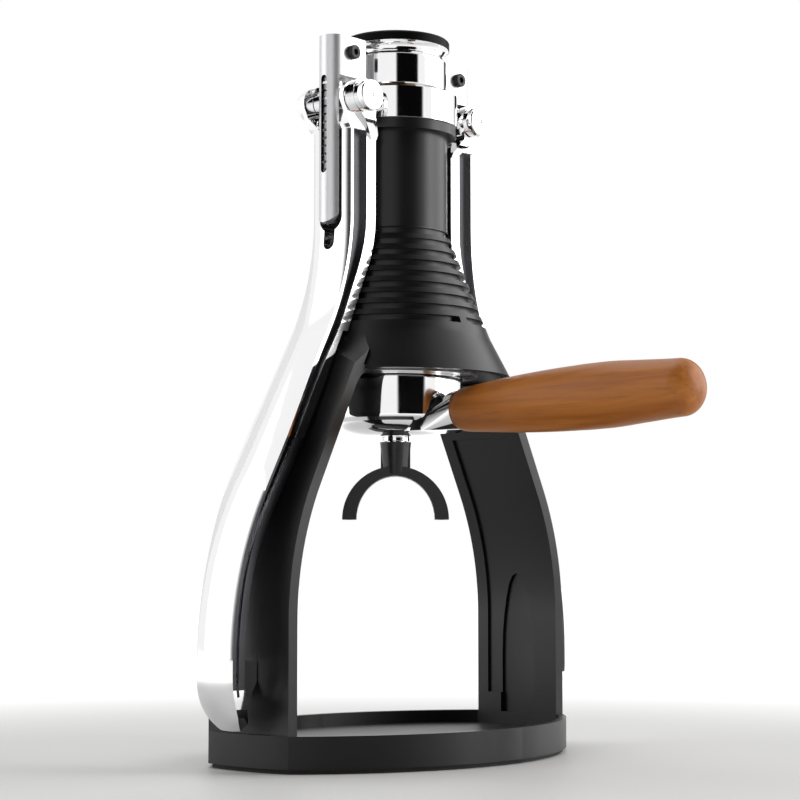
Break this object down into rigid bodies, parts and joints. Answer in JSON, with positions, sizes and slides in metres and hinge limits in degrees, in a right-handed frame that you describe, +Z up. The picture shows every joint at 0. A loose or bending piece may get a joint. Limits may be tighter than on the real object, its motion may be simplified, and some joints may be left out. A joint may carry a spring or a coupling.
{
  "type": "espresso maker",
  "caption": "Hand-powered espresso maker: arched black frame, polished side levers geared to a rising crown over the cylinder, and a wooden-handled filter holder with twin spout.",
  "frame": {"origin": "on the table, at the centre of the underside of the base, under the axis of the cylinder", "axes": "+Z up along the cylinder; -Y along the wooden handle of the filter holder; +X towards one lever and -X towards the other"},
  "size_m": [0.1982, 0.2015, 0.2866],
  "materials": {
    "frame_black": "fine matt black powder coat",
    "pad_rubber": "matt rubber",
    "inner_steel": "turned stainless steel",
    "polished_metal": "polished to a mirror",
    "screw_black": "blackened steel",
    "bush_bronze": "sintered bronze",
    "gasket_rubber": "smooth silicone",
    "well_black": "fine satin black",
    "rail_steel": "milled steel, bead blasted",
    "piston_plastic": "moulded, satin",
    "handle_wood": "oiled orange-brown hardwood with long grain",
    "spout_plastic": "moulded, satin black"
  },
  "bodies": {
    "frame": {"frame_casting": "frame_black", "base_pad": "pad_rubber", "cylinder_liner": "inner_steel", "collar": "polished_metal", "collar_screws": "screw_black", "rod_guide": "bush_bronze", "hinge_bushes": "bush_bronze", "group_head": "inner_steel", "group_screws": "screw_black", "group_gasket": "gasket_rubber", "shower_screen": "inner_steel", "shower_screw": "inner_steel"},
    "crown": {"crown_ring": "polished_metal", "well_liner": "well_black", "rail_left": "rail_steel", "rail_right": "rail_steel", "rail_bolts": "screw_black", "rail_nuts": "screw_black", "piston_rod": "inner_steel", "rod_nut": "inner_steel", "piston_head": "piston_plastic", "piston_seal": "gasket_rubber", "piston_valve": "gasket_rubber"},
    "left_arm": {"lever_left": "polished_metal", "pinion_shaft_left": "rail_steel", "hinge_caps_left": "polished_metal"},
    "right_arm": {"lever_right": "polished_metal", "pinion_shaft_right": "rail_steel", "hinge_caps_right": "polished_metal"},
    "holder": {"portafilter_body": "polished_metal", "filter_basket": "inner_steel", "basket_spring": "inner_steel", "handle_stud": "inner_steel", "wood_handle": "handle_wood", "nozzle": "polished_metal"},
    "spout": {"twin_spout": "spout_plastic", "spout_seal": "gasket_rubber"}
  },
  "joints": [
    {"name": "lever_left", "type": "hinge", "parent": "frame", "child": "left_arm", "pos_m": [-0.0328, 0, 0.257], "axis": [0, 1, 0], "range_deg": [0, 150]},
    {"name": "lever_right", "type": "hinge", "parent": "frame", "child": "right_arm", "pos_m": [0.0328, 0, 0.257], "axis": [0, -1, 0], "range_deg": [0, 150]},
    {"name": "crown_lift", "type": "slide", "parent": "frame", "child": "crown", "axis": [0, 0, 1], "range_m": [0, 0.0184]},
    {"name": "holder_turn", "type": "hinge", "parent": "frame", "child": "holder", "pos_m": [0, 0, 0.155], "axis": [0, 0, 1], "range_deg": [-45, 0]},
    {"name": "spout_turn", "type": "hinge", "parent": "holder", "child": "spout", "pos_m": [0, 0, 0.121], "axis": [0, 0, 1], "continuous": true}
  ],
  "couplings": [
    {"joint": "lever_right", "follows": "lever_left", "ratio": 1},
    {"joint": "crown_lift", "follows": "lever_left", "m_per_rad": 0.007}
  ]
}
